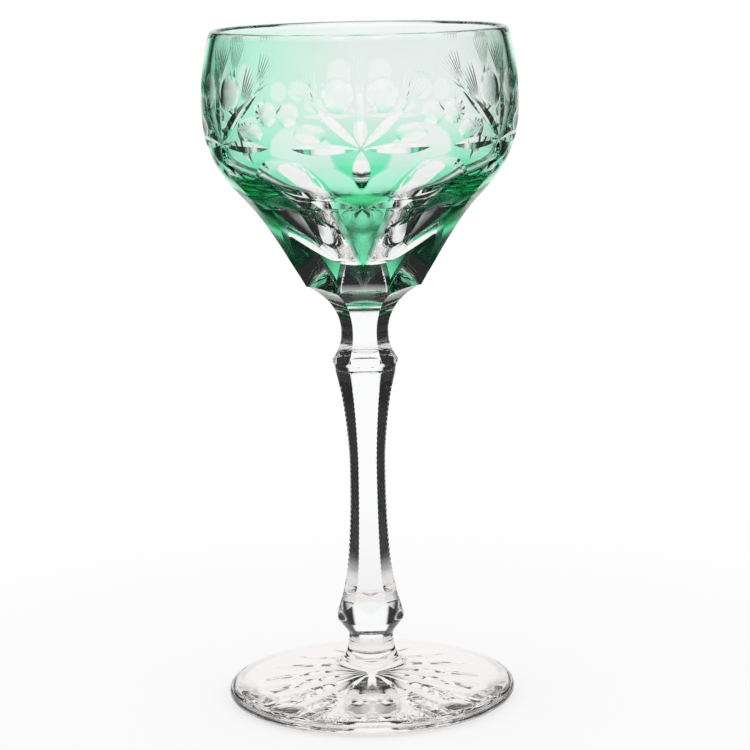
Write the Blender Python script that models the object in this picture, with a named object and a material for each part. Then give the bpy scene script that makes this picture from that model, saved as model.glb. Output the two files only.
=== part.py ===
# A cut crystal goblet: a clear bowl cased in green, a six-sided stem and a star-cut foot.
# The blanks are turned first, and then cut as a glass cutter would, with wheels and mitres.

import math

import bmesh
import bpy
from mathutils import Matrix, Vector
from mathutils.geometry import delaunay_2d_cdt

# Driving dimensions in metres; an outline's points are (radius, height)
RIM_HEIGHT = 0.2000
CASING_THICKNESS = 0.0006
JOINT_GAP = 0.0003
BOWL_STEM_JOINT = 0.1210
STEM_FOOT_JOINT = 0.0185
BOWL_OUTSIDE = [(0.0158, 0.1210), (0.0226, 0.1320), (0.0276, 0.1400), (0.0335, 0.1480), (0.0390, 0.1550),
                (0.0422, 0.1600), (0.0446, 0.1668), (0.0459, 0.1730), (0.0463, 0.1800), (0.0454, 0.1900),
                (0.0434, 0.2000)]
BOWL_INSIDE = [(0.0412, 0.1992), (0.0430, 0.1900), (0.0438, 0.1800), (0.0432, 0.1737), (0.0420, 0.1684),
               (0.0402, 0.1632), (0.0374, 0.1593), (0.0335, 0.1560), (0.0245, 0.1505), (0.0150, 0.1440),
               (0.0070, 0.1386), (0.0, 0.1368)]
RIM_CREST = (0.0423, RIM_HEIGHT)
CASING_BOTTOM = 0.1285
CASING_TOP = 0.1992

# Six wide flutes run down the bowl between the six motifs
MOTIF_COUNT = 6
FLUTE_DEPTH_LINE = [(0.0136, 0.1205), (0.0200, 0.1320), (0.0248, 0.1400), (0.0304, 0.1480), (0.0373, 0.1560),
                    (0.0412, 0.1610), (0.0446, 0.1666), (0.0490, 0.1730)]
FLUTE_HALF_WIDTH = 0.0230
FLUTE_STEPS = 2

# Wheel cuts of one motif: distances across from its axis, and heights
STAR_HEIGHT = 0.1690
STAR_START = 0.0005
STAR_CENTRE = 0.0009
STAR_CENTRE_POINTS = 7
SLANT = math.radians(46)
STAR_ARMS = [(math.radians(90), 0.0204, 0.0030), (math.radians(-90), 0.0204, 0.0030), (SLANT, 0.0158, 0.0030),
             (-SLANT, 0.0158, 0.0030), (0.0, 0.0158, 0.0026), (math.radians(180), 0.0120, 0.0052)]
ARM_STATIONS = 4
FAN_HEADINGS = (SLANT, 0.0, -SLANT)
FAN_CENTRE = 0.0150
FAN_REACH = (0.0029, 0.0098)
FAN_WIDTH = 0.0008
FAN_RAYS = 6
FAN_SPREAD = math.radians(62)
RAY_STATIONS = 2
PRINTIES = [(0.0060, 0.1838, 0.0040, 0.0043), (0.0197, 0.1768, 0.0028, 0.0030),
            (0.0135, 0.1736, 0.0040, 0.0022)]
PRINTY_POINTS = 8
CASING_RADIUS = 0.0460
CASING_SIDE_POINTS = (0.1668, 0.1730, 0.1765, 0.1800, 0.1850, 0.1900, 0.1950, CASING_TOP)
WEDGE_POINTS = (CASING_BOTTOM, 0.1320, 0.1360, 0.1400, 0.1440, 0.1480, 0.1515, 0.1550, 0.1575, 0.1600, 0.1625,
                0.1645, 0.1656)
RIM_SHARES = (0.75, 0.5, 0.25, 0.0, -0.25, -0.5, -0.75)
SHEET_COLUMNS = (-0.0205, -0.0137, -0.0068, 0.0, 0.0068, 0.0137, 0.0205)
SHEET_ROWS = (0.1480, 0.1550, 0.1600, 0.1640, 0.1668, 0.1730, 0.1800, 0.1850, 0.1900, 0.1965)

# The stem's blank, and the wheels that cut its flats
STEM_SIDES = 6
STEM_OUTSIDE = [(0.0180, 0.1210), (0.0130, 0.1090), (0.0099, 0.1030), (0.0086, 0.0980), (0.0073, 0.0920),
                (0.0062, 0.0840), (0.0055, 0.0760), (0.0053, 0.0700), (0.0054, 0.0600), (0.0058, 0.0500),
                (0.0066, 0.0400), (0.0080, 0.0320), (0.0100, 0.0247), (0.0092, 0.0226), (0.0072, 0.0200),
                (0.0066, 0.0185)]
NECK_WAIST = 0.0060
NECK_HEIGHT = 0.1110
NECK_WHEEL = 0.0152
NECK_WHEEL_HALF_WIDTH = 0.0240
NECK_WHEEL_REACH = 0.0200
NECK_WHEEL_STEPS = 14
NECK_RINGS = 9
FLAT_SHARE = 0.5
FLAT_WIDEST = 0.0036
FLAT_END_ROUNDING = 30.0
FLAT_BOTTOM = 0.0270
NOTCH_PITCH = 0.0013
NOTCH_DEPTH = 0.0002
NOTCH_BOTTOM = 0.0310
NOTCH_TOP = 0.0955
STEM_STEPS = 3
ROUND_SHARES = (1 / 6, 1 / 2, 5 / 6)
STEM_LOWER_RINGS = (STEM_FOOT_JOINT + JOINT_GAP / 2, 0.0200, 0.0226, 0.0247, 0.0260, 0.0268, 0.0274, 0.0285,
                    0.0298)
STEM_UPPER_RINGS = (0.0970, 0.0985, 0.0993, 0.1000, 0.1008, 0.1013, 0.1020, 0.1030)

# The foot, turned from the collar out to the edge and back under it
FOOT_TOP = [(0.0066, 0.0185), (0.0069, 0.0160), (0.0075, 0.0134), (0.0090, 0.0110), (0.0120, 0.0091),
            (0.0175, 0.0076), (0.0260, 0.0062), (0.0360, 0.0049), (0.0412, 0.0041)]
FOOT_EDGE = [(0.0426, 0.0034), (0.0431, 0.0023), (0.0427, 0.0010), (0.0415, 0.0002)]
FOOT_REST = [(0.0410, 0.0), (0.0340, 0.0)]
FOOT_HOLLOW = 0.0010
STAR_RAYS = 16
RAY_REACH = 0.0320
RAY_DEPTH = 0.0017
RAY_SLOPE = 0.70
STAR_RINGS = (0.999, 0.68, 0.42, 0.22, 0.08)

BOWL_SEGMENTS = 48
SHARP_ANGLE = math.radians(28)
FAR = 0.060
SAME_POINT = 1e-6
GLASS_ROUGHNESS = 0.03
GLASS_IOR = 1.54
BOWL_COLOUR = (0.97, 0.99, 0.98)
CASING_COLOUR = (0.16, 0.74, 0.42)
STEM_COLOUR = (0.97, 0.98, 0.98)
FOOT_COLOUR = (0.98, 0.97, 0.96)


def smooth_outline(points, steps):
    """Points along a Catmull-Rom curve through the given outline."""
    found = []
    for index in range(len(points) - 1):
        before = Vector(points[max(index - 1, 0)])
        start = Vector(points[index])
        end = Vector(points[index + 1])
        after = Vector(points[min(index + 2, len(points) - 1)])
        for step in range(steps):
            t = step / steps
            found.append(0.5 * (2 * start + (end - before) * t
                                + (2 * before - 5 * start + 4 * end - after) * t ** 2
                                + (3 * start - before - 3 * end + after) * t ** 3))
    found.append(Vector(points[-1]))
    return found


def radius_at(outline, height):
    """The outline's radius at a height, for outlines that only rise or only fall."""
    for lower, upper in zip(outline, outline[1:]):
        if min(lower.y, upper.y) <= height <= max(lower.y, upper.y):
            share = (height - lower.y) / (upper.y - lower.y)
            return lower.x + (upper.x - lower.x) * share
    return outline[-1].x


def offset_outline(outline, distance):
    """The outline moved towards the axis by a distance measured square to it."""
    moved = []
    for index, point in enumerate(outline):
        along = outline[min(index + 1, len(outline) - 1)] - outline[max(index - 1, 0)]
        moved.append(Vector((point.x - distance * along.length / abs(along.y), point.y)))
    return moved


def between(outline, lowest, highest):
    """The stretch of a rising outline between two heights, with points on both."""
    inner = [point for point in outline if lowest < point.y < highest]
    ends = [Vector((radius_at(outline, height), height)) for height in (lowest, highest)]
    return [ends[0], *inner, ends[1]]


def add_object(name, bm, material=None):
    mesh = bpy.data.meshes.new(name)
    bm.to_mesh(mesh)
    bm.free()
    obj = bpy.data.objects.new(name, mesh)
    bpy.context.scene.collection.objects.link(obj)
    if material:
        mesh.materials.append(material)
        mesh.shade_smooth()
        mesh.set_sharp_from_angle(angle=SHARP_ANGLE)
    else:
        obj.hide_render = True
        obj.display_type = "WIRE"
    return obj


def glass(name, colour):
    material = bpy.data.materials.new(name)
    material.use_nodes = True
    shader = material.node_tree.nodes["Principled BSDF"]
    shader.inputs["Base Color"].default_value = (*colour, 1.0)
    shader.inputs["Roughness"].default_value = GLASS_ROUGHNESS
    shader.inputs["Metallic"].default_value = 0.0
    shader.inputs["IOR"].default_value = GLASS_IOR
    shader.inputs["Transmission Weight"].default_value = 1.0
    return material


def turn(outline, segments):
    """A blank turned about the Z axis from an outline that starts and ends on it."""
    bm = bmesh.new()
    verts = [bm.verts.new((point.x, 0.0, point.y)) for point in outline]
    edges = [bm.edges.new(pair) for pair in zip(verts, verts[1:])]
    bmesh.ops.spin(bm, geom=verts + edges, cent=(0, 0, 0), axis=(0, 0, 1), angle=2 * math.pi,
                   steps=segments, use_merge=True)
    bmesh.ops.remove_doubles(bm, verts=bm.verts, dist=SAME_POINT)
    bmesh.ops.recalc_face_normals(bm, faces=bm.faces)
    return bm


def profile_cutter(name, section, half_width, angle):
    """A bar of the given (reach, height) section, lying across the front and turned to its angle."""
    bm = bmesh.new()
    face = bm.faces.new([bm.verts.new((-half_width, -reach, height)) for reach, height in section])
    grown = bmesh.ops.extrude_face_region(bm, geom=[face])["geom"]
    verts = [item for item in grown if isinstance(item, bmesh.types.BMVert)]
    bmesh.ops.translate(bm, vec=(2 * half_width, 0, 0), verts=verts)
    bmesh.ops.rotate(bm, cent=(0, 0, 0), matrix=Matrix.Rotation(angle, 3, "Z"), verts=bm.verts)
    return finish_cutter(name, bm)


def finish_cutter(name, bm):
    bmesh.ops.triangulate(bm, faces=bm.faces)
    bmesh.ops.recalc_face_normals(bm, faces=bm.faces)
    return add_object(name, bm)


def cut(target, cutter):
    boolean = target.modifiers.new(cutter.name, "BOOLEAN")
    boolean.operation = "DIFFERENCE"
    boolean.solver = "EXACT"
    boolean.object = cutter


def flute_wheels(line):
    """Six broad flutes, flat across and slightly hollow along, that meet in ridges low on the bowl."""
    section = [*map(tuple, line), (FAR, line[-1].y), (FAR, line[0].y)]
    return [profile_cutter(f"flute_wheel_{flute}", section, FLUTE_HALF_WIDTH,
                           2 * math.pi * (flute + 0.5) / MOTIF_COUNT) for flute in range(MOTIF_COUNT)]


def neck_wheels():
    """Six round wheels that hollow the neck and leave arches in the base of the bowl."""
    swing = math.acos((NECK_WHEEL + NECK_WAIST - NECK_WHEEL_REACH) / NECK_WHEEL)
    section = []
    for step in range(NECK_WHEEL_STEPS + 1):
        turn_by = swing * (2 * step / NECK_WHEEL_STEPS - 1)
        reach = NECK_WAIST + NECK_WHEEL * (1 - math.cos(turn_by))
        section.append((reach, NECK_HEIGHT + NECK_WHEEL * math.sin(turn_by)))
    section += [(FAR, section[-1][1]), (FAR, section[0][1])]
    return [profile_cutter(f"neck_wheel_{side}", section, NECK_WHEEL_HALF_WIDTH,
                           2 * math.pi * side / STEM_SIDES) for side in range(STEM_SIDES)]


def mitre_outline(origin, heading, span, width, stations):
    """The outline of a wheel cut that tapers to a point at both ends of its span."""
    along = Vector((math.sin(heading), math.cos(heading)))
    lateral = Vector((along.y, -along.x))
    middle = []
    for station in range(1, stations):
        share = station / stations
        place = origin + along * (span[0] + (span[1] - span[0]) * share)
        middle.append((place, lateral * 0.5 * width * (1.0 - (2.0 * share - 1.0) ** 2)))
    near = [place + half for place, half in middle]
    far = [place - half for place, half in reversed(middle)]
    return [origin + along * span[0], *near, origin + along * span[1], *far]


def round_outline(centre, half_width, half_height, points):
    outline = []
    for point in range(points):
        turn_by = 2 * math.pi * (point + 0.5) / points
        outline.append(centre + Vector((half_width * math.cos(turn_by), half_height * math.sin(turn_by))))
    return outline


def motif_outlines():
    """The cuts of one motif: six mitres round a centre, three fans of fine rays, and the printies."""
    star = Vector((0.0, STAR_HEIGHT))
    outlines = [round_outline(star, STAR_CENTRE, STAR_CENTRE, STAR_CENTRE_POINTS)]
    for heading, reach, width in STAR_ARMS:
        outlines.append(mitre_outline(star, heading, (STAR_START, reach), width, ARM_STATIONS))
    for heading in FAN_HEADINGS:
        base = star + FAN_CENTRE * Vector((math.sin(heading), math.cos(heading)))
        for ray in range(FAN_RAYS):
            lean = FAN_SPREAD * (ray / (FAN_RAYS - 1) - 0.5)
            outlines.append(mitre_outline(base, heading + lean, FAN_REACH, FAN_WIDTH, RAY_STATIONS))
    for across, height, half_width, half_height in PRINTIES:
        for side in (1, -1):
            centre = Vector((side * across, height))
            outlines.append(round_outline(centre, half_width, half_height, PRINTY_POINTS))
    return outlines


def sector_outline(outside, flute):
    """One motif's share of the casing, laid flat: a band above, and a wedge between two flutes below."""
    half = math.pi / MOTIF_COUNT
    side = [Vector((half * CASING_RADIUS, height)) for height in CASING_SIDE_POINTS]
    wedge = []
    for height in WEDGE_POINTS:
        skin = radius_at(outside, height) - CASING_THICKNESS / 2
        land = half - math.acos(min(1.0, radius_at(flute, height) / skin))
        wedge.append(Vector((land * CASING_RADIUS, height)))
    right = wedge + side
    rim = [Vector((right[-1].x * share, CASING_TOP)) for share in RIM_SHARES]
    return right + rim + [Vector((-point.x, point.y)) for point in reversed(right)]


def inside(outline, point):
    """Whether a flat outline goes round a point."""
    found = False
    for start, end in zip(outline, outline[1:] + outline[:1]):
        if (start.y > point.y) != (end.y > point.y):
            if point.x < start.x + (end.x - start.x) * (point.y - start.y) / (end.y - start.y):
                found = not found
    return found


def casing_sheet(outside, flute):
    """The flat sector cut into triangles, without those that lie in a cut."""
    sector = sector_outline(outside, flute)
    cuts = motif_outlines()
    verts = []
    edges = []
    for outline in [sector, *cuts]:
        first = len(verts)
        count = len(outline)
        verts += outline
        edges += [(first + index, first + (index + 1) % count) for index in range(count)]
    verts += [Vector((across, height)) for across in SHEET_COLUMNS for height in SHEET_ROWS]
    flat, _, faces, _, _, _ = delaunay_2d_cdt(verts, edges, [], 0, SAME_POINT)
    kept = []
    for face in faces:
        centre = sum((flat[index] for index in face), Vector((0.0, 0.0))) / len(face)
        if inside(sector, centre) and not any(inside(outline, centre) for outline in cuts):
            kept.append(face)
    return flat, kept


def loft(rings):
    """A solid through rings of equal count, closed by a fan of faces at both ends."""
    bm = bmesh.new()
    rows = [[bm.verts.new(point) for point in ring] for ring in rings]
    for row, following in zip(rows, rows[1:]):
        for index in range(len(row)):
            after = (index + 1) % len(row)
            bm.faces.new((row[index], row[after], following[after], following[index]))
    for row in (rows[0], rows[-1]):
        centre = bm.verts.new(sum((vert.co for vert in row), Vector()) / len(row))
        for index in range(len(row)):
            bm.faces.new((row[index], row[(index + 1) % len(row)], centre))
    bmesh.ops.remove_doubles(bm, verts=bm.verts, dist=SAME_POINT)
    bmesh.ops.recalc_face_normals(bm, faces=bm.faces)
    return bm


def polar(radius, angle, height):
    return Vector((radius * math.sin(angle), -radius * math.cos(angle), height))


def neck_flat(height):
    """How far from the axis the neck wheels reach at a height."""
    rise = min(abs(height - NECK_HEIGHT), NECK_WHEEL)
    return NECK_WAIST + NECK_WHEEL - math.sqrt(NECK_WHEEL ** 2 - rise ** 2)


def shaft_flat(blank, height):
    """How far from the axis the long flats lie: they meet in edges, and end round on the lower knop."""
    share = (height - FLAT_BOTTOM) / (NECK_HEIGHT - FLAT_BOTTOM)
    if not 0.0 < share < 1.0:
        return FAR
    width = FLAT_SHARE * radius_at(blank, height)
    if share < 0.5:
        width = min(width, FLAT_WIDEST) * min(1.0, FLAT_END_ROUNDING * share) ** 0.5
    return math.sqrt(radius_at(blank, height) ** 2 - width ** 2)


def stem_ring(blank, height, notch):
    """One level of the stem: flats, and between them the edges, which a notch sets back."""
    side = 2 * math.pi / STEM_SIDES
    flat = min(neck_flat(height), shaft_flat(blank, height))
    edge = min(radius_at(blank, height) - notch, flat / math.cos(0.5 * side))
    if flat >= edge:
        turns = [side * share for share in ROUND_SHARES]
    else:
        reach = math.acos(flat / edge)
        turns = [reach, 0.5 * side, side - reach]
    return [polar(edge, side * number + turned, height) for number in range(STEM_SIDES) for turned in turns]


def stem_levels():
    """The heights of the stem's rings, each with the depth of the notch there."""
    count = round((NOTCH_TOP - NOTCH_BOTTOM) / NOTCH_PITCH)
    notches = []
    for step in range(2 * count + 1):
        notches.append((NOTCH_BOTTOM + NOTCH_PITCH * step / 2, NOTCH_DEPTH * (step % 2)))
    below = [(height, 0.0) for height in STEM_LOWER_RINGS]
    above = [(height, 0.0) for height in STEM_UPPER_RINGS]
    neck = NECK_RINGS - 1
    top = BOWL_STEM_JOINT - JOINT_GAP / 2
    start = STEM_UPPER_RINGS[-1]
    above += [(start + (top - start) * step / neck, 0.0) for step in range(1, neck + 1)]
    return below + notches + above


def star_height(radius, angle):
    """The underside of the foot: a shallow hollow with mitre-cut rays, deepest at the centre."""
    hollow = FOOT_HOLLOW * (1.0 - (radius / FOOT_REST[-1][0]) ** 2)
    depth = RAY_DEPTH * (1.0 - radius / RAY_REACH)
    return hollow + max(0.0, depth - RAY_SLOPE * radius * math.sin(abs(angle)))


def star_ring(radius):
    """One circle of the underside, with points on every ray's bottom and on both its edges."""
    half = math.pi / STAR_RAYS
    depth = RAY_DEPTH * (1.0 - radius / RAY_REACH)
    edge = min(half / 2, math.asin(min(1.0, depth / (RAY_SLOPE * radius)))) if depth > 0.0 else half / 2
    ring = []
    for ray in range(STAR_RAYS):
        for angle in (-edge, 0.0, edge, half):
            ring.append(polar(radius, 2 * half * ray + angle, star_height(radius, angle)))
    return ring


def make_bowl(outside, wheels):
    core = between(offset_outline(outside, CASING_THICKNESS + JOINT_GAP), BOWL_STEM_JOINT + JOINT_GAP / 2,
                   CASING_TOP)
    base = Vector((0.0, core[0].y))
    outline = [base, *core, Vector(RIM_CREST), *map(Vector, BOWL_INSIDE)]
    bowl = add_object("bowl", turn(outline, BOWL_SEGMENTS), glass("clear_bowl_glass", BOWL_COLOUR))
    for cutter in wheels:
        cut(bowl, cutter)


def make_casing(outside, flute):
    flat, faces = casing_sheet(outside, flute)
    bm = bmesh.new()
    for motif in range(MOTIF_COUNT):
        turned = 2 * math.pi * motif / MOTIF_COUNT
        verts = [bm.verts.new(polar(radius_at(outside, point.y), turned + point.x / CASING_RADIUS, point.y))
                 for point in flat]
        for face in faces:
            bm.faces.new([verts[index] for index in face])
    bmesh.ops.delete(bm, geom=[vert for vert in bm.verts if not vert.link_faces], context="VERTS")
    bmesh.ops.remove_doubles(bm, verts=bm.verts, dist=SAME_POINT)
    bmesh.ops.recalc_face_normals(bm, faces=bm.faces)
    bmesh.ops.solidify(bm, geom=bm.faces[:], thickness=CASING_THICKNESS)
    bmesh.ops.recalc_face_normals(bm, faces=bm.faces)
    add_object("green_casing", bm, glass("green_casing_glass", CASING_COLOUR))


def make_stem(blank):
    rings = [stem_ring(blank, height, notch) for height, notch in stem_levels()]
    add_object("stem", loft(rings), glass("clear_stem_glass", STEM_COLOUR))


def make_foot():
    half = math.pi / STAR_RAYS
    turns = [2 * half * ray + angle for ray in range(STAR_RAYS) for angle in (-half / 2, 0.0, half / 2, half)]
    outline = [Vector(point) for point in FOOT_TOP + FOOT_EDGE + FOOT_REST]
    outline[0].y -= JOINT_GAP / 2
    rings = [[polar(point.x, angle, point.y) for angle in turns] for point in outline]
    rings += [star_ring(RAY_REACH * share) for share in STAR_RINGS]
    add_object("foot", loft(rings), glass("clear_foot_glass", FOOT_COLOUR))


def main():
    for obj in list(bpy.data.objects):
        bpy.data.objects.remove(obj)
    outside = [Vector(point) for point in BOWL_OUTSIDE]
    flute = smooth_outline(FLUTE_DEPTH_LINE, FLUTE_STEPS)
    make_bowl(outside, flute_wheels(flute) + neck_wheels())
    make_casing(outside, flute)
    make_stem(smooth_outline(STEM_OUTSIDE, STEM_STEPS))
    make_foot()


main()
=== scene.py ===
import math
from bisect import bisect_left

import bmesh
import bpy
from mathutils import Matrix, Vector
from mathutils.geometry import delaunay_2d_cdt


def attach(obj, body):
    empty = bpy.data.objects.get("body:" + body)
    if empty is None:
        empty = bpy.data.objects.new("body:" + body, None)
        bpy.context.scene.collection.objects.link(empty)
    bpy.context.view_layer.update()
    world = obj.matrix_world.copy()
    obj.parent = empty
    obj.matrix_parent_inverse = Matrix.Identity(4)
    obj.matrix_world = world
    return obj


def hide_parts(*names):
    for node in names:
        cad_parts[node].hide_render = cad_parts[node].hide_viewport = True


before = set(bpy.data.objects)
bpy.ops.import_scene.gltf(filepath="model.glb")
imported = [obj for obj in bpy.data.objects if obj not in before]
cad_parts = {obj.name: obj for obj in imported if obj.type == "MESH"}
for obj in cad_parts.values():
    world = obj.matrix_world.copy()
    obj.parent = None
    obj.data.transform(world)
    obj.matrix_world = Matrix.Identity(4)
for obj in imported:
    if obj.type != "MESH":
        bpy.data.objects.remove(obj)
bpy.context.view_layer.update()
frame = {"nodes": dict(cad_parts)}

print("frame loaded:", ", ".join(frame["nodes"]))

samePoint = 2e-6  # two points nearer than this are one
drawnNear = 1e-7  # and so are two points of a drawing
seamGap = 0.00002  # hair gap between fused pieces


# shaping helpers

class Outline:  # a turned line through (radius, height) points, rising
    def __init__(self, points, steps=16):
        line = []
        last = len(points) - 1
        for index in range(last):
            before, start = Vector(points[max(index - 1, 0)]), Vector(points[index])
            end, after = Vector(points[index + 1]), Vector(points[min(index + 2, last)])
            for step in range(steps):
                t = step / steps
                line.append(0.5 * (2 * start + (end - before) * t
                                   + (2 * before - 5 * start + 4 * end - after) * t ** 2
                                   + (3 * start - before - 3 * end + after) * t ** 3))
        line.append(Vector(points[-1]))
        self.line = line
        self.heights = [point.y for point in line]

    def at(self, height):
        index = min(max(bisect_left(self.heights, height), 1), len(self.line) - 1)
        below, above = self.line[index - 1], self.line[index]
        return below.x + (above.x - below.x) * (height - below.y) / (above.y - below.y)

    def lean(self, height):  # a level cut through a leaning wall is this much longer
        reach = 0.0003
        return math.hypot(1.0, (self.at(height + reach) - self.at(height - reach)) / (2 * reach))


class Drawing:  # lines laid out flat, and the triangles between them
    def __init__(self):
        self.points, self.edges, self.creases = [], [], []

    def draw(self, line, crease=False):
        first = len(self.points)
        self.points.extend(line)
        for step in range(first, len(self.points) - 1):
            self.edges.append((step, step + 1))
            self.creases.append(crease)

    def level(self, places, height):
        self.draw([Vector((place, height)) for place in places])

    def upright(self, place, heights, crease=False):
        self.draw([Vector((place, height)) for height in heights], crease)

    def fill(self, scale=1.0):
        laid = [Vector((point.x * scale, point.y)) for point in self.points]
        flat, edges, faces, _, sources, _ = delaunay_2d_cdt(laid, self.edges, [], 0, drawnNear)
        sharp = [pair for pair, lines in zip(edges, sources) if any(self.creases[index] for index in lines)]
        return flat, faces, sharp


def polar(radius, angle, height):  # angle 0 faces the viewer
    return Vector((radius * math.sin(angle), -radius * math.cos(angle), height))


def spread(start, end, count):
    return [start + (end - start) * step / count for step in range(count + 1)]


def offCentre(angle, centre, count):  # angle from the nearest of a ring of centres
    pitch = 2 * math.pi / count
    return (angle - centre + pitch / 2) % pitch - pitch / 2


def sharpen(bm, verts, pairs):
    for pair in pairs:
        edge = bm.edges.get([verts[index] for index in pair])
        if edge:
            edge.smooth = False


def wrapGrid(bm, rings):  # a grid wrapped over rings of points, the last column on the first
    rows, columns = len(rings), len(rings[0]) + 1
    made = bmesh.ops.create_grid(bm, x_segments=columns - 1, y_segments=rows - 1, size=1.0)["verts"]
    made.sort(key=lambda vert: (round(vert.co.y, 5), round(vert.co.x, 5)))
    for index, vert in enumerate(made):
        ring = rings[index // columns]
        vert.co = ring[index % columns % len(ring)]
    bmesh.ops.remove_doubles(bm, verts=bm.verts, dist=samePoint)


def turnRound(bm, geom, angle, steps, **settings):
    bmesh.ops.spin(bm, geom=geom, cent=(0, 0, 0), axis=(0, 0, 1), angle=angle, steps=steps, **settings)


def closeEnds(bm):  # fills the open ends with the second material, a fused seam
    ends = [edge for edge in bm.edges if edge.is_boundary]
    for face in bmesh.ops.holes_fill(bm, edges=ends, sides=0)["faces"]:
        face.material_index = 1


def finishPiece(name, bm, materials, nodes, sharpFrom):
    bmesh.ops.remove_doubles(bm, verts=bm.verts, dist=samePoint)
    bmesh.ops.dissolve_degenerate(bm, edges=bm.edges, dist=samePoint / 4)
    bmesh.ops.recalc_face_normals(bm, faces=bm.faces)
    for edge in bm.edges:
        if edge.calc_face_angle(0.0) > sharpFrom:
            edge.smooth = False
    for face in bm.faces:
        face.smooth = True
    openEdges = sum(not edge.is_manifold for edge in bm.edges)
    mesh = bpy.data.meshes.new(name)
    bm.to_mesh(mesh)
    bm.free()
    for material in materials:
        mesh.materials.append(material)
    piece = bpy.data.objects.new(name, mesh)
    bpy.context.scene.collection.objects.link(piece)
    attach(piece, "root")
    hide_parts(*nodes)
    print(name, "has", len(mesh.polygons), "faces,", openEdges, "open edges")


# node helpers

class Value:  # a number socket that takes part in sums
    def __init__(self, paint, socket):
        self.paint = paint
        self.socket = socket

    def sum(self, operation, first, second):
        return self.paint.add("ShaderNodeMath", {"operation": operation}, {0: first, 1: second})

    def __add__(self, other):
        return self.sum("ADD", self, other)

    def __radd__(self, other):
        return self.sum("ADD", other, self)

    def __sub__(self, other):
        return self.sum("SUBTRACT", self, other)

    def __rsub__(self, other):
        return self.sum("SUBTRACT", other, self)

    def __mul__(self, other):
        return self.sum("MULTIPLY", self, other)

    def __rmul__(self, other):
        return self.sum("MULTIPLY", other, self)

    def __rpow__(self, other):
        return self.sum("POWER", other, self)

    def __abs__(self):
        return self.sum("ABSOLUTE", self, 0.0)


class Paint:  # one material's or world's nodes
    def __init__(self, owner):
        owner.use_nodes = True
        self.tree = owner.node_tree
        self.tree.nodes.clear()

    def add(self, kind, settings=None, sockets=None, out=0):
        node = self.tree.nodes.new(kind)
        for name, setting in (settings or {}).items():
            setattr(node, name, setting)
        for key, given in (sockets or {}).items():
            if isinstance(given, Value):
                self.tree.links.new(given.socket, node.inputs[key])
            else:
                node.inputs[key].default_value = given
        return Value(self, node.outputs[out]) if len(node.outputs) else node

    def ease(self, value, start, end, low=0.0, high=1.0):  # soft step
        return self.add("ShaderNodeMapRange", {"interpolation_type": "SMOOTHSTEP"},
                        {0: value, 1: start, 2: end, 3: low, 4: high})

    def noise(self, place, scale, detail):
        return self.add("ShaderNodeTexNoise", None, {"Vector": place, "Scale": scale, "Detail": detail})

    def axes(self, place):  # its x, y and z
        split = self.add("ShaderNodeSeparateXYZ", None, {0: place}).socket.node
        return [Value(self, output) for output in split.outputs]


polish = {
    "sheen": (0.45, 0.45, 0.45, 1.0),  # share of the mirror image that the polished faces keep
    "waveDepth": 0.0004,
    "cloudDetail": 2.0,
    "waveDetail": 1.0,
}


def fusedSeam():  # the unseen face where two pieces are melted together
    material = bpy.data.materials.new("fusedSeam")
    paint = Paint(material)
    shader = paint.add("ShaderNodeBsdfPrincipled", None, {"Alpha": 0.0})
    paint.add("ShaderNodeOutputMaterial", None, {"Surface": shader})
    return material


def clearGlass(name, look):  # polished crystal: a breath of tint, slow waves left by the polishing
    material = bpy.data.materials.new(name)
    paint = Paint(material)
    place = paint.add("ShaderNodeTexCoord", out="Object")
    cloud = paint.noise(place, look["cloudScale"], polish["cloudDetail"])
    tint = paint.add("ShaderNodeMix", {"data_type": "RGBA"},  # 6, 7 and out 2 are its colours
                     {0: cloud, 6: (*look["tint"], 1.0), 7: (*look["deepTint"], 1.0)}, out=2)
    wave = paint.noise(place, look["waveScale"], polish["waveDetail"])
    bump = paint.add("ShaderNodeBump", None,
                     {"Strength": look["wave"], "Distance": polish["waveDepth"], "Height": wave})
    matt = look["matt"] * paint.add("ShaderNodeAttribute", {"attribute_name": "matt"}, out="Fac")
    shader = paint.add("ShaderNodeBsdfPrincipled", None,
                       {"Base Color": tint, "Roughness": matt, "IOR": look["ior"], "Normal": bump,
                        "Transmission Weight": 1.0, "Specular Tint": polish["sheen"]})
    paint.add("ShaderNodeOutputMaterial", None, {"Surface": shader})
    return material


def casedGlass(name, look, ior):  # green that deepens with what the wheels left of the overlay; on the right of the upper band it is painted paler and greyer, a painted glare
    material = bpy.data.materials.new(name)
    paint = Paint(material)
    left = paint.add("ShaderNodeAttribute", {"attribute_name": "overlay"}, out="Fac")
    place = paint.add("ShaderNodeTexCoord", out="Object")
    cloud = paint.noise(place, look["cloudScale"], polish["cloudDetail"])
    right, _, up = paint.axes(place)
    # painted glare: on the right of the upper band the green is painted paler and greyer where light washes
    # it out
    paintedGlare = (paint.ease(right, *look["glareSide"]) * paint.ease(right, *look["glareEnd"])
            * paint.ease(up, *look["glareFrom"]))
    least, more = look["cloud"]
    depth = left * (1.0 - look["pale"] * paintedGlare) * (least + more * cloud)
    paintedGlareGrey = left * paintedGlare
    red, green, blue = (channel ** depth * glareGrey ** paintedGlareGrey
                        for channel, glareGrey in zip(look["tint"], look["glareGrey"]))
    tint = paint.add("ShaderNodeCombineColor", None, {0: red, 1: green, 2: blue})
    satin = paint.ease(up, *look["satinTop"]) * paint.ease(up, *look["satinFoot"])
    shader = paint.add("ShaderNodeBsdfPrincipled", None,
                       {"Base Color": tint, "Roughness": satin, "IOR": ior,
                        "Transmission Weight": 1.0, "Specular Tint": polish["sheen"]})
    paint.add("ShaderNodeOutputMaterial", None, {"Surface": shader})
    return material


# the bowl, its casing and the pattern cut through it

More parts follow.
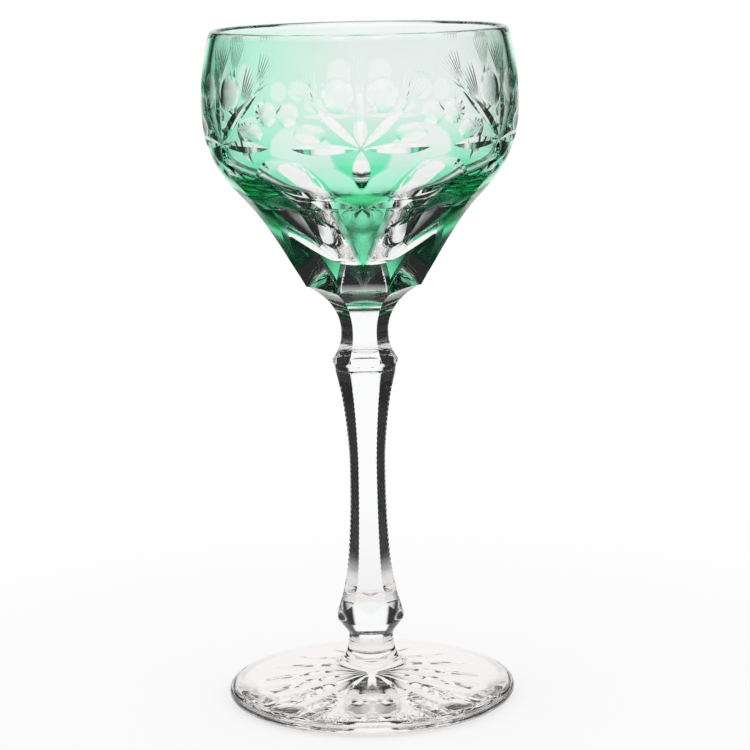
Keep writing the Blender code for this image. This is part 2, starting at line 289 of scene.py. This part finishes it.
bowl = {
    "outside": [(0.0185, 0.1210), (0.0217, 0.1285), (0.0234, 0.1320), (0.0274, 0.1400), (0.0323, 0.1480),
                (0.0384, 0.1550), (0.0420, 0.1600), (0.0446, 0.1668), (0.0458, 0.1730), (0.0462, 0.1800),
                (0.0453, 0.1900), (0.0433, 0.2000)],
    "inside": [(0.0000, 0.1368), (0.0050, 0.1377), (0.0100, 0.1405), (0.0150, 0.1440), (0.0200, 0.1475),
               (0.0245, 0.1505), (0.0290, 0.1532), (0.0335, 0.1560), (0.0374, 0.1593), (0.0402, 0.1632),
               (0.0420, 0.1684), (0.0432, 0.1737), (0.0438, 0.1800), (0.0430, 0.1900), (0.0412, 0.1992)],
    "rimStart": 0.1992,
    "rimEase": (0.0003, 0.0005),  # in and up, where the rim starts to turn over
    "rimCrest": (0.0423, 0.2000),
    "rimInner": (0.0416, 0.1998),
    "joint": 0.1210,
    "motifs": 6,
    "columns": 24,  # steps across one motif
    "flute": [(0.0136, 0.1205), (0.0200, 0.1320), (0.0248, 0.1400), (0.0304, 0.1480), (0.0373, 0.1560),
              (0.0412, 0.1610), (0.0446, 0.1666), (0.0490, 0.1730)],
    "fluteTop": 0.1672,
    "fluteSteps": 60,
    "layRadius": 0.0460,  # the pattern is drawn flat at this radius, and the base at the next
    "baseLay": 0.0200,
    "baseRows": 14,
    "ridgeSteps": 10,
    "cuspSteps": 8,
    "archSteps": 360,
    "archHalvings": 40,
    "sharpFrom": math.radians(34),
    "glass": {"tint": (0.985, 0.995, 0.99), "deepTint": (0.97, 0.985, 0.978), "cloudScale": 30.0,
              "waveScale": 90.0, "wave": 0.04, "ior": 1.53, "matt": 0.24},
}

casing = {
    "bottom": 0.1285,
    "overlay": [(0.00070, 0.1200), (0.00068, 0.1480), (0.00048, 0.1550), (0.00024, 0.1630),
                (0.00018, 0.1750), (0.00018, 0.1850), (0.00018, 0.2010)],  # thickness, height
    "polishFrom": 0.1978,
    "polishReach": 0.0012,
    "least": 1.2 * seamGap,  # green thinner than this is gone
    "sharpFrom": math.radians(34),
    "glass": {"tint": (0.20, 0.88, 0.50), "cloudScale": 40.0,
              "cloud": (0.92, 0.16),  # least, and how much more
              "pale": 0.90,  # share of the green left out on the right, a painted glare
              "glareGrey": (0.80, 0.80, 0.80),  # painted grey put in there, part of the same painted glare
              # where the painted glare lies: the right side, fading again at the far right, over the upper
              # band
              "glareSide": (-0.046, 0.002), "glareEnd": (0.034, 0.050, 1.0, 0.2), "glareFrom": (0.160, 0.172),
              "satinTop": (0.146, 0.152, 0.25, 0.0), "satinFoot": (0.1335, 0.1365)},  # bloom of the wedges
}

motif = {
    "star": (0.0, 0.1690),
    "arms": [(90, 0.0204, 0.0034, 0.60), (47, 0.0192, 0.0028, 0.45), (0, 0.0186, 0.0024, 0.50),
             (180, 0.0120, 0.0054, 0.52)],  # heading, reach, width, belly
    "armStart": 0.0003,
    "armSteep": 0.45,
    "fans": [(47, 32, 42), (0, 0, 44)],  # heading of its arm, its own heading, spread
    "fanCentre": 0.0150,
    "fanReach": (0.0030, 0.0130),
    "fanWidth": 0.00066,
    "fanSteep": 0.32,
    "fanBelly": 0.45,
    "fanRays": 8,
    "fanSlack": 0.001,  # a ray this near the mirror line lies on it
    "printies": [(0.0062, 0.1838, 0.0046, 0.0050), (0.0206, 0.1786, 0.0036, 0.0037),
                 (0.0143, 0.1732, 0.0048, 0.0030)],  # across, height, half width, half height
    "printyDepth": 0.00042,
    "printySteps": 28,
    "printyRings": (1.0, 0.66, 0.33),  # where it leaves the green, and inside that
    "printyRounds": 5,
    "stations": 14,
    "gridStep": 0.0011,
}

outside = Outline(bowl["outside"])
flute = Outline(bowl["flute"])
overlay = Outline(casing["overlay"])
layRadius = bowl["layRadius"]
halfSector = math.pi / bowl["motifs"]


class Mitre:  # a V cut that tapers to both ends, widest at its belly
    matt = 0.0

    def __init__(self, origin, heading, start, reach, width, steep, belly):
        self.origin = origin
        self.along = Vector((math.sin(heading), math.cos(heading)))
        self.across = Vector((self.along.y, -self.along.x))
        self.start, self.reach = start, reach
        self.width, self.steep, self.belly = width, steep, belly

    def half(self, far):
        share = (far - self.start) / (self.reach - self.start)
        if not 0.0 < share < 1.0:
            return 0.0
        side = self.belly if share < self.belly else 1.0 - self.belly
        return 0.5 * self.width * (1.0 - ((share - self.belly) / side) ** 2)

    def depth(self, point):
        offset = point - self.origin
        return self.steep * (self.half(offset.dot(self.along)) - abs(offset.dot(self.across)))

    def lines(self):
        stations = spread(self.start, self.reach, motif["stations"])
        spine = [self.origin + self.along * far for far in stations]
        found = [spine]
        for side in (1, -1):
            found.append([point + self.across * side * self.half(far)
                          for point, far in zip(spine, stations)])
            inner = []  # where the cut leaves the green
            before, lastInset = spine[0], -1.0
            for point, far in zip(spine, stations):
                inset = self.half(far) - overlay.at(point.y) / self.steep
                if (inset > 0.0) != (lastInset > 0.0):
                    inner.append(before.lerp(point, lastInset / (lastInset - inset)))
                if inset > 0.0:
                    inner.append(point + self.across * side * inset)
                before, lastInset = point, inset
            found.append(inner)
        return [(line, True) for line in found if len(line) > 1]


class Printy:  # a round hollow ground with a small wheel, which leaves a soft bloom
    matt = 1.0

    def __init__(self, centre, halfWidth, halfHeight, depth):
        self.centre, self.halfWidth, self.halfHeight, self.deepest = centre, halfWidth, halfHeight, depth

    def depth(self, point):
        offset = point - self.centre
        return self.deepest * (1.0 - (offset.x / self.halfWidth) ** 2 - (offset.y / self.halfHeight) ** 2)

    def lines(self):
        spokes = []
        for turned in spread(0.0, 2 * math.pi, motif["printySteps"]):
            toEdge = Vector((self.halfWidth * math.cos(turned), self.halfHeight * math.sin(turned)))
            through = 1.0  # share of the way out where the cut leaves the green
            for _ in range(motif["printyRounds"]):
                through = math.sqrt(1.0 - overlay.at(self.centre.y + through * toEdge.y) / self.deepest)
            spokes.append((toEdge, through))
        found = [([self.centre + toEdge for toEdge, _ in spokes], True)]
        for part in motif["printyRings"]:
            ring = [self.centre + toEdge * (part * through) for toEdge, through in spokes]
            found.append((ring, part == 1.0))
        return found


def motifCuts():
    star = Vector(motif["star"])
    cuts = []
    for heading, reach, width, belly in motif["arms"]:
        cuts.append(Mitre(star, math.radians(heading), motif["armStart"], reach, width,
                          motif["armSteep"], belly))
    for arm, heading, wide in motif["fans"]:
        arm, heading, lean = math.radians(arm), math.radians(heading), math.radians(wide) / 2
        base = star + motif["fanCentre"] * Vector((math.sin(arm), math.cos(arm)))
        for turned in spread(-lean, lean, motif["fanRays"] - 1):
            if heading + turned > -motif["fanSlack"]:  # the mirror makes the rest
                cuts.append(Mitre(base, heading + turned, *motif["fanReach"], motif["fanWidth"],
                                  motif["fanSteep"], motif["fanBelly"]))
    for across, height, halfWidth, halfHeight in motif["printies"]:
        cuts.append(Printy(Vector((across, height)), halfWidth, halfHeight, motif["printyDepth"]))
    return cuts


def fluteDepth(point):
    aside = halfSector - point.x / layRadius
    return (outside.at(point.y) - flute.at(point.y) / math.cos(aside)) / outside.lean(point.y)


def fluteLine(depthShare):  # where the flute's face reaches that share of the green
    line = []
    for height in spread(casing["bottom"], bowl["fluteTop"], bowl["fluteSteps"]):
        skin = outside.at(height) - depthShare * overlay.at(height) * outside.lean(height)
        if flute.at(height) < skin:
            land = halfSector - math.acos(flute.at(height) / skin)
            line.append(Vector((max(0.0, land) * layRadius, height)))
    return line


def rimDepth(height):  # the polish of the rim takes the green off
    share = (height - casing["polishFrom"]) / casing["polishReach"]
    return overlay.at(height) * min(1.0, max(0.0, share)) ** 2


def laidSheet():  # half a motif laid flat and cut into triangles along every edge of its cuts
    wide = halfSector * layRadius
    low, high = casing["bottom"], bowl["rimStart"]
    rows = spread(low, high, round((high - low) / motif["gridStep"]))
    cuts = motifCuts()
    sheet = Drawing()
    for height in (low, high):
        sheet.level(spread(0.0, wide, bowl["columns"] // 2), height)
    for across in (0.0, wide):
        sheet.upright(across, rows)
    sheet.draw(fluteLine(0.0), True)
    sheet.draw(fluteLine(1.0))
    sheet.level(spread(0.0, wide, bowl["columns"]), casing["polishFrom"])
    for cut in cuts:
        for line, crease in cut.lines():
            sheet.draw([Vector((min(max(point.x, 0.0), wide), point.y)) for point in line], crease)
    steps = round(wide / motif["gridStep"])
    for number, height in enumerate(rows[1:-1]):
        shift = 0.5 * (number % 2)
        sheet.points.extend(Vector((wide * (step + shift) / steps, height)) for step in range(1, steps))
    flat, faces, sharp = sheet.fill()
    faces = [face for face in faces if max(flat[index].x for index in face) > samePoint
             and min(flat[index].x for index in face) < wide - samePoint]  # no slivers on the mirror line
    depths, matted = [], []
    for point in flat:
        deepest, matt = max(0.0, fluteDepth(point), rimDepth(point.y)), 0.0
        for cut in cuts:
            if cut.depth(point) > deepest:
                deepest, matt = cut.depth(point), cut.matt
        depths.append(deepest)
        matted.append(matt)
    return flat, faces, sharp, depths, matted


sheetPoints, sheetFaces, sheetSharp, cutDepths, matted = laidSheet()
greenDepths = [overlay.at(point.y) for point in sheetPoints]
covered = [any(cutDepths[index] < greenDepths[index] - casing["least"] for index in face)
           for face in sheetFaces]
print("motif laid out:", len(sheetPoints), "points")


def wrapSheet(bm, depths, greenOnly, materialOf):  # the laid sheet bent round the bowl
    verts = []
    for point, depth in zip(sheetPoints, depths):
        radius = outside.at(point.y) - depth * outside.lean(point.y)
        verts.append(bm.verts.new(polar(radius, point.x / layRadius, point.y)))
    for face, inGreen in zip(sheetFaces, covered):
        if inGreen or not greenOnly:
            made = bm.faces.new([verts[index] for index in face])
            made.material_index = materialOf(inGreen)
    sharpen(bm, verts, sheetSharp)
    return verts


def goRound(bm):  # mirrors half a motif, and turns the whole one round the bowl
    loose = [vert for vert in bm.verts if not vert.link_faces]
    bmesh.ops.delete(bm, geom=loose, context="VERTS")
    half = bm.verts[:] + bm.edges[:] + bm.faces[:]
    bmesh.ops.mirror(bm, geom=half, matrix=Matrix(), merge_dist=samePoint, axis="X")
    whole = bm.verts[:] + bm.edges[:] + bm.faces[:]
    count = bowl["motifs"]
    turnRound(bm, whole, 2 * math.pi * (count - 1) / count, count - 1, use_duplicate=True)
    bmesh.ops.remove_doubles(bm, verts=bm.verts, dist=samePoint)


# the stem's neck, which also hollows the base of the bowl

stem = {
    "outside": [(0.0066, 0.0185), (0.0072, 0.0200), (0.0092, 0.0226), (0.0100, 0.0247), (0.0080, 0.0320),
                (0.0066, 0.0400), (0.0058, 0.0500), (0.0054, 0.0600), (0.0053, 0.0700), (0.0055, 0.0760),
                (0.0062, 0.0840), (0.0073, 0.0920), (0.0086, 0.0980), (0.0099, 0.1030), (0.0130, 0.1090),
                (0.0200, 0.1215)],
    "sides": 6,
    "neckWaist": 0.0060,
    "neckHeight": 0.1110,
    "neckWheel": 0.0152,
    "flatShare": 0.5,  # half a flat's width, as a share of the blank's radius
    "flatMost": 0.0036,
    "flatRound": 30.0,
    "flatBottom": 0.0270,
    "flatTop": 0.0998,
    "flatPoints": 6,  # columns across a flat, and across the land beside it
    "landPoints": 6,
    "edgeHalf": math.radians(0.3),
    "notchPitch": 0.00152,
    "notchDepth": 0.00013,
    "notchShape": (0.0, 0.12, 0.62, 1.0, 0.62, 0.12),  # one notch, crest to crest
    "notchBottom": 0.0310,
    "notchTop": 0.0955,
    "footJoint": 0.0185,
    "lowerKnop": 0.0226,
    "upperKnop": 0.1030,
    "lowerRows": (8, 10, 14),  # to the lower knop, the flats and the notches
    "upperRows": (24, 40),  # to the upper knop and the bowl
    "sharpFrom": math.radians(17),
    "glass": {"tint": (0.985, 0.988, 0.988), "deepTint": (0.97, 0.975, 0.975), "cloudScale": 30.0,
              "waveScale": 120.0, "wave": 0.03, "ior": 1.53, "matt": 0.0},
}

stemBlank = Outline(stem["outside"])
halfSide = math.pi / stem["sides"]


def neckFlat(height):  # how far from the axis the neck wheels reach
    rise = min(abs(height - stem["neckHeight"]), stem["neckWheel"])
    return stem["neckWaist"] + stem["neckWheel"] - math.sqrt(stem["neckWheel"] ** 2 - rise ** 2)


def flutedBase(angle, height):
    return flute.at(height) / math.cos(offCentre(angle, halfSector, bowl["motifs"]))


def hollowBase(angle, height):
    return neckFlat(height) / math.cos(offCentre(angle, 0.0, stem["sides"]))


def baseRadius(angle, height):  # the foot of the bowl: six flutes, hollowed by six neck wheels
    if abs(height - stem["neckHeight"]) >= stem["neckWheel"]:
        return flutedBase(angle, height)
    return min(flutedBase(angle, height), hollowBase(angle, height))


def archLine(angle):  # the height where a neck wheel leaves the flutes
    low, high = bowl["joint"], stem["neckHeight"] + stem["neckWheel"]
    for _ in range(bowl["archHalvings"]):
        middle = (low + high) / 2
        if hollowBase(angle, middle) < flutedBase(angle, middle):
            low = middle
        else:
            high = middle
    return low


def addBase(bm):  # the whole round of the base, drawn flat as angle and height
    low, high = bowl["joint"] + seamGap / 2, casing["bottom"]
    turns = spread(-math.pi, math.pi, bowl["motifs"] * bowl["columns"])
    rows = spread(low, high, bowl["baseRows"])
    sheet = Drawing()
    sheet.level(turns, high)
    sheet.level(turns, low)
    for turned in (-math.pi, math.pi):
        sheet.upright(turned, rows, True)
    for ridge in range(1 - bowl["motifs"] // 2, bowl["motifs"] // 2):
        turned = ridge * 2 * halfSector
        sheet.upright(turned, spread(archLine(turned), high, bowl["ridgeSteps"]), True)
    arches = spread(-math.pi, math.pi, bowl["archSteps"])
    sheet.draw([Vector((turned, archLine(turned))) for turned in arches], True)
    for turned in spread(-math.pi + halfSide, math.pi - halfSide, stem["sides"] - 1):
        sheet.upright(turned, spread(low, archLine(turned), bowl["cuspSteps"]), True)
    for height in rows[1:-1]:
        sheet.points.extend(Vector((turned, height)) for turned in turns[1:-1])
    flat, faces, sharp = sheet.fill(bowl["baseLay"])
    verts = []
    for point in flat:
        turned = point.x / bowl["baseLay"]
        verts.append(bm.verts.new(polar(baseRadius(turned, point.y), turned, point.y)))
    for face in faces:
        bm.faces.new([verts[index] for index in face])
    sharpen(bm, verts, sharp)


def addCavity(bm):  # rim and inside, turned in one go
    start = bowl["rimStart"]
    skin = outside.at(start) - overlay.at(start) * outside.lean(start)
    easeIn, easeUp = bowl["rimEase"]
    rim = Outline([(skin, start), (skin - easeIn, start + easeUp), bowl["rimCrest"]], steps=4)
    inside = Outline(bowl["inside"], steps=8)
    profile = rim.line + [Vector(bowl["rimInner"])] + inside.line[::-1]
    verts = [bm.verts.new(polar(point.x, 0.0, point.y)) for point in profile]
    edges = [bm.edges.new(pair) for pair in zip(verts, verts[1:])]
    turnRound(bm, verts + edges, 2 * math.pi, bowl["motifs"] * bowl["columns"], use_merge=True)


def makeBowl(seam):
    bm = bmesh.new()
    layer = bm.verts.layers.float.new("matt")
    skin = [max(pair) for pair in zip(cutDepths, greenDepths)]
    for vert, matt in zip(wrapSheet(bm, skin, False, int), matted):  # fused where the green covers it
        vert[layer] = matt
    goRound(bm)
    addBase(bm)
    addCavity(bm)
    bmesh.ops.remove_doubles(bm, verts=bm.verts, dist=samePoint)
    closeEnds(bm)
    crystal = clearGlass("bowlCrystal", bowl["glass"])
    finishPiece("clearBowl", bm, [crystal, seam], ["bowl"], bowl["sharpFrom"])


def makeCasing():
    bm = bmesh.new()
    layer = bm.verts.layers.float.new("overlay")
    whole = max(greenDepths)
    melt = [max(cut, green - seamGap) for cut, green in zip(cutDepths, greenDepths)]
    for number, depths in enumerate((cutDepths, melt)):  # the polished face, and the one on the bowl
        verts = wrapSheet(bm, depths, True, lambda inGreen: number)
        for vert, cut, green in zip(verts, cutDepths, greenDepths):
            vert[layer] = max(0.0, green - cut) / whole
    goRound(bm)
    greens = [casedGlass("greenOverlay", casing["glass"], bowl["glass"]["ior"]),
              casedGlass("greenMelt", casing["glass"], 1.0)]
    finishPiece("greenCasing", bm, greens, ["green_casing"], casing["sharpFrom"])


# stem

def shaftFlat(height):  # how far from the axis the long flats lie
    share = (height - stem["flatBottom"]) / (stem["flatTop"] - stem["flatBottom"])
    if not 0.0 < share < 1.0:
        return math.inf
    width = stem["flatShare"] * stemBlank.at(height)
    if share < 0.5:  # the flats end round on the lower knop
        width = min(width, stem["flatMost"]) * min(1.0, stem["flatRound"] * share) ** 0.5
    return math.sqrt(stemBlank.at(height) ** 2 - width ** 2)


def stemRing(height, notch):
    side = 2 * math.pi / stem["sides"]
    flatPoints, landPoints = stem["flatPoints"], stem["landPoints"]
    flat = min(neckFlat(height), shaftFlat(height))
    edge = min(stemBlank.at(height) - notch, flat / math.cos(0.5 * side - stem["edgeHalf"]))
    reach = math.acos(flat / edge) if flat < edge else 0.0
    ring = []
    for number in range(stem["sides"]):
        middle = side * number
        if reach > 0.0:
            turns = [math.atan(math.tan(reach) * share) for share in spread(-1, 1, flatPoints)]
            turns += spread(reach, side - reach, landPoints)[1:-1]
            for turned in turns:
                radius = flat / math.cos(turned) if abs(turned) < reach else edge
                ring.append(polar(radius, middle + turned, height))
        else:
            count = flatPoints + landPoints
            for step in range(count):
                ring.append(polar(edge, middle + side * (step - flatPoints / 2) / count, height))
    return ring


def climb(stops, counts):  # heights from stop to stop
    heights = stops[:1]
    for start, end, count in zip(stops, stops[1:], counts):
        heights += spread(start, end, count)[1:]
    return heights


def stemLevels():  # the height of every ring, and how deep its edges are notched
    lower = climb([stem["footJoint"] + seamGap / 2, stem["lowerKnop"], stem["flatBottom"],
                   stem["notchBottom"]], stem["lowerRows"])
    upper = climb([stem["notchTop"], stem["upperKnop"], bowl["joint"] - seamGap / 2], stem["upperRows"])
    count = round((stem["notchTop"] - stem["notchBottom"]) / stem["notchPitch"])
    shape = stem["notchShape"]
    levels = [(height, 0.0) for height in lower[:-1]]
    for step in range(count * len(shape)):
        height = stem["notchBottom"] + stem["notchPitch"] * step / len(shape)
        levels.append((height, stem["notchDepth"] * shape[step % len(shape)]))
    return levels + [(height, 0.0) for height in upper]


def makeStem(seam):
    bm = bmesh.new()
    wrapGrid(bm, [stemRing(height, notch) for height, notch in stemLevels()])
    closeEnds(bm)
    crystal = clearGlass("stemCrystal", stem["glass"])
    finishPiece("facetedStem", bm, [crystal, seam], ["stem"], stem["sharpFrom"])


# foot

foot = {
    "top": [(0.0412, 0.0041), (0.0360, 0.0049), (0.0260, 0.0062), (0.0175, 0.0076), (0.0120, 0.0091),
            (0.0090, 0.0110), (0.0075, 0.0134), (0.0069, 0.0160), (0.0066, 0.0185)],
    "edge": [(0.0412, 0.0041), (0.0426, 0.0034), (0.0431, 0.0023), (0.0427, 0.0010), (0.0415, 0.0002),
             (0.0410, 0.0000)],
    "restInner": 0.0340,
    "restRing": 0.0030,  # a ring on the rest, this far out from its inner edge
    "hollow": 0.0010,
    "hollowStart": 0.0004,
    "hollowRings": 44,
    "hub": 0.0012,
    "rays": 16,
    "rayPoints": 8,  # columns to a ray and the land beside it
    "rayReach": 0.0318,
    "rayHalf": 0.0028,
    "rayRoot": 0.0016,  # half width at the hub
    "rayBelly": 0.0130,
    "raySteep": 0.20,
    "rayMost": 0.98,  # share of its sector that a ray may take
    "landShare": 0.6,
    "collarFrom": 0.0100,
    "sharpFrom": math.radians(20),
    "glass": {"tint": (0.975, 0.945, 0.93), "deepTint": (0.95, 0.915, 0.895), "cloudScale": 40.0,
              "waveScale": 70.0, "wave": 0.05, "ior": 1.53, "matt": 0.0},
}


def rayHalf(radius):  # half the width of a ray of the star
    belly = foot["rayBelly"]
    side = belly if radius < belly else foot["rayReach"] - belly
    leaf = foot["rayHalf"] * (1.0 - ((radius - belly) / side) ** 2)
    least = 0.0 if radius > belly else foot["rayRoot"]
    return min(max(leaf, least), radius * math.tan(math.pi / foot["rays"]))


def underRing(radius):  # one ring of the hollow under the foot, with the star cut into it
    half = math.pi / foot["rays"]
    hollow = foot["hollow"] * (1.0 - (radius / foot["restInner"]) ** 2)
    wide = rayHalf(radius)
    edge = math.asin(min(1.0, wide / radius)) if wide > 0.0 else half / 3
    edge = min(edge, half * foot["rayMost"])
    land = (half - edge) * foot["landShare"]
    turns = [(-edge, 0.0), (-edge / 2, 0.5), (0.0, 1.0), (edge / 2, 0.5), (edge, 0.0),
             (edge + land, 0.0), (half, 0.0), (2 * half - edge - land, 0.0)]
    deep = foot["raySteep"] * wide
    ring = []
    for ray in range(foot["rays"]):
        for turned, depth in turns:
            ring.append(polar(radius, 2 * half * ray + turned, hollow + deep * depth))
    return ring


def makeFoot(seam):
    bm = bmesh.new()
    count = foot["rays"] * foot["rayPoints"]
    turns = [2 * math.pi * step / count for step in range(count)]
    top = Outline(foot["top"], steps=6).line[::-1]
    top[0].y -= seamGap / 2
    edge = Outline([(radius, -height) for radius, height in foot["edge"]], steps=5).line
    rest = foot["restInner"]
    profile = top + [Vector((point.x, -point.y)) for point in edge[1:]]
    profile += [Vector((rest + foot["restRing"], 0.0)), Vector((rest, 0.0))]
    rings = [[polar(point.x, turned, point.y) for turned in turns] for point in profile]
    inward = spread(rest - foot["hollowStart"], foot["hub"], foot["hollowRings"])
    rings += [underRing(radius) for radius in inward]
    wrapGrid(bm, rings)
    closeEnds(bm)
    for face in bm.faces:
        if face.material_index and face.calc_center_median().z < foot["collarFrom"]:
            face.material_index = 0  # the hub of the star is a real face
    crystal = clearGlass("footCrystal", foot["glass"])
    finishPiece("starFoot", bm, [crystal, seam], ["foot"], foot["sharpFrom"])


meltedFace = fusedSeam()
makeBowl(meltedFace)
makeCasing()
makeStem(meltedFace)
makeFoot(meltedFace)
print("goblet made")


# floor, studio and camera

white = (1.0, 1.0, 1.0, 1.0)

table = {
    "radius": 0.30,
    "sides": 128,
    "below": 0.0002,
    "paint": (0.92, 0.92, 0.92, 1.0),
    "gloss": 0.03,
    "glow": (0.72, 1.0),  # to the camera: near the foot, and at the edge
    "glowFrom": (0.05, 0.285),
    "stripGlow": (0.6, 0.92, 1.0),  # to the glass, the lit strip: before, under and behind the foot
    "stripFront": (-0.26, -0.04),
    "stripBack": (0.04, 0.26),
    "stripHalf": (0.024, 0.080),  # half its width, where it starts to fade and where it ends
    "stripFlare": (0.17, 0.30, 0.0, 0.07),  # it widens behind the foot
}

studio = {
    "panels": [(0, 21, 6, 1.0, 0.62), (180, 84, 26, 0.6, 0.28)],  # middle, half width, fade, glow, top
    "panelTop": 0.15,
    "ground": 0.9,  # the pale ground past the table's edge
    "groundTop": (-0.42, -0.33),
    "groundBack": (-0.1, 0.2),
    "dark": 0.025,
}

view = {
    "place": (0.0, -0.7201, 0.2329),
    "pitch": 10.63,
    "aside": -0.2203,
    "roll": -1.16,
    "lens": 118.6,
    "sensor": 36.0,
}


def paleTable():  # glows softly to the camera; the glass finds a gloss with a lit strip
    material = bpy.data.materials.new("paleTable")
    paint = Paint(material)
    place = paint.add("ShaderNodeTexCoord", out="Object")
    aside, back, _ = paint.axes(place)
    away = paint.add("ShaderNodeVectorMath", {"operation": "LENGTH"}, {0: place}, out="Value")
    share = paint.ease(away, *table["glowFrom"], *table["glow"])
    matt = paint.add("ShaderNodeBsdfDiffuse", None, {"Color": table["paint"]})
    glow = paint.add("ShaderNodeEmission", None, {"Color": white, "Strength": 1.0})
    plain = paint.add("ShaderNodeMixShader", None, {0: share, 1: matt, 2: glow})
    front, middle, far = table["stripGlow"]
    bright = (paint.ease(back, *table["stripFront"], front, middle)
              + paint.ease(back, *table["stripBack"], 0.0, far - middle))
    gloss = paint.add("ShaderNodeBsdfGlossy", None, {"Color": table["paint"], "Roughness": table["gloss"]})
    lit = paint.add("ShaderNodeEmission", None, {"Color": bright, "Strength": 1.0})
    strip = paint.ease(abs(aside) - paint.ease(back, *table["stripFlare"]), *table["stripHalf"], 1.0, 0.0)
    mirrored = paint.add("ShaderNodeMixShader", None, {0: strip, 1: gloss, 2: lit})
    straight = paint.add("ShaderNodeLightPath", out="Is Camera Ray")
    both = paint.add("ShaderNodeMixShader", None, {0: straight, 1: mirrored, 2: plain})
    paint.add("ShaderNodeOutputMaterial", None, {"Surface": both})
    return material


def makeFloor():
    bm = bmesh.new()
    bmesh.ops.create_circle(bm, cap_ends=True, segments=table["sides"], radius=table["radius"])
    bmesh.ops.translate(bm, vec=(0, 0, -table["below"]), verts=bm.verts)
    mesh = bpy.data.meshes.new("floor")
    bm.to_mesh(mesh)
    bm.free()
    mesh.materials.append(paleTable())
    floor = bpy.data.objects.new("floor", mesh)
    bpy.context.scene.collection.objects.link(floor)


def panelGlow(paint, toward):  # a white panel behind the glass, a broad soft one behind the camera
    right, back, up = paint.axes(toward)
    turned = paint.add("ShaderNodeMath", {"operation": "ARCTAN2"}, {0: abs(right), 1: back})
    glow = 0.0
    for middle, half, fade, bright, top in studio["panels"]:
        aside = abs(turned - math.radians(middle))
        panel = paint.ease(aside, math.radians(half), math.radians(half + fade), bright, 0.0)
        glow = glow + panel * paint.ease(up, top, top + studio["panelTop"], 1.0, 0.0)
    ground = (paint.ease(up, *studio["groundTop"], studio["ground"], 0.0)
              * paint.ease(back, *studio["groundBack"]))
    return paint.add("ShaderNodeMath", {"operation": "MAXIMUM"}, {0: glow, 1: ground})


def makeStudio():  # white to the camera; glass also finds dark flags at the sides and a dark ceiling
    world = bpy.data.worlds.new("studio")
    bpy.context.scene.world = world
    paint = Paint(world)
    toward = paint.add("ShaderNodeTexCoord", out="Generated")
    around = studio["dark"] + (1.0 - studio["dark"]) * panelGlow(paint, toward)
    straight = paint.add("ShaderNodeLightPath", out="Is Camera Ray")
    soft = paint.add("ShaderNodeLightPath", out="Is Diffuse Ray")
    plain = paint.add("ShaderNodeMath", {"operation": "MAXIMUM"}, {0: straight, 1: soft})
    strength = plain + (1.0 - plain) * around
    backdrop = paint.add("ShaderNodeBackground", None, {"Color": white, "Strength": strength})
    paint.add("ShaderNodeOutputWorld", None, {"Surface": backdrop})


def makeCamera():
    data = bpy.data.cameras.new("camera")
    data.lens = view["lens"]
    data.sensor_width = view["sensor"]
    data.sensor_fit = "HORIZONTAL"
    camera = bpy.data.objects.new("camera", data)
    turned = (Matrix.Rotation(math.radians(view["aside"]), 3, "Z")
              @ Matrix.Rotation(math.radians(90 - view["pitch"]), 3, "X")
              @ Matrix.Rotation(math.radians(view["roll"]), 3, "Z"))
    camera.matrix_world = Matrix.Translation(view["place"]) @ turned.to_4x4()
    bpy.context.scene.collection.objects.link(camera)
    bpy.context.scene.camera = camera


makeFloor()
makeStudio()
makeCamera()
scene = bpy.context.scene
scene.view_settings.view_transform = "Standard"
scene.cycles.max_bounces = 32
scene.cycles.transmission_bounces = 32
scene.cycles.glossy_bounces = 12
scene.cycles.transparent_max_bounces = 32
scene.cycles.use_denoising = True
print("studio set")
